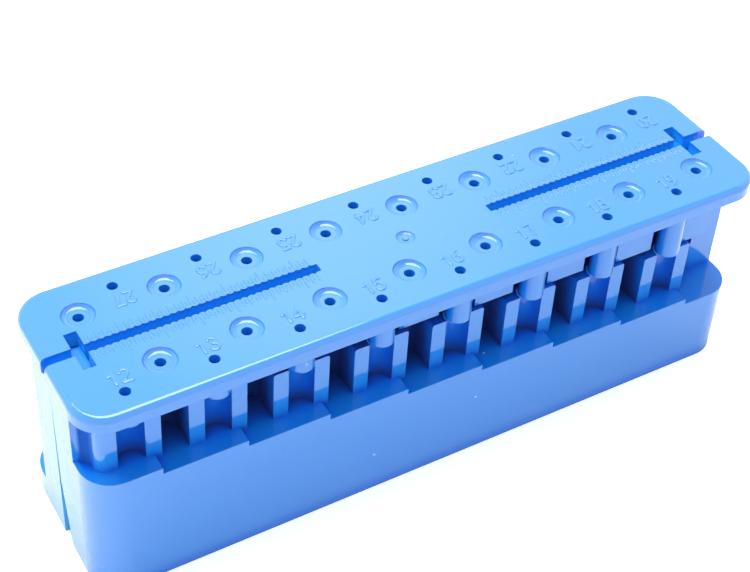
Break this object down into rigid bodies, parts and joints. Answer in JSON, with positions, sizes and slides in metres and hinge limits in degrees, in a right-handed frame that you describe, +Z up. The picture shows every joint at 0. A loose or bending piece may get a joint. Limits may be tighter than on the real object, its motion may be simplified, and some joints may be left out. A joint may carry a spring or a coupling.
{
  "type": "endodontic measuring block",
  "caption": "Moulded bench block for setting dental file lengths: drilled guide plate with ruler slots, seated on a base with stepped ledges.",
  "frame": {"origin": "centre of the underside of the base, on the surface that the block stands on", "axes": "+X along the block, from the 12 end to the 20 end of the front side; +Y from the front side to the back side; +Z up"},
  "size_m": [0.1044, 0.0252, 0.0325],
  "materials": {
    "plate_plastic": "glossy moulded blue",
    "base_plastic": "glossy moulded blue"
  },
  "bodies": {
    "root": {"guide_plate": "plate_plastic", "base": "base_plastic"}
  },
  "joints": []
}
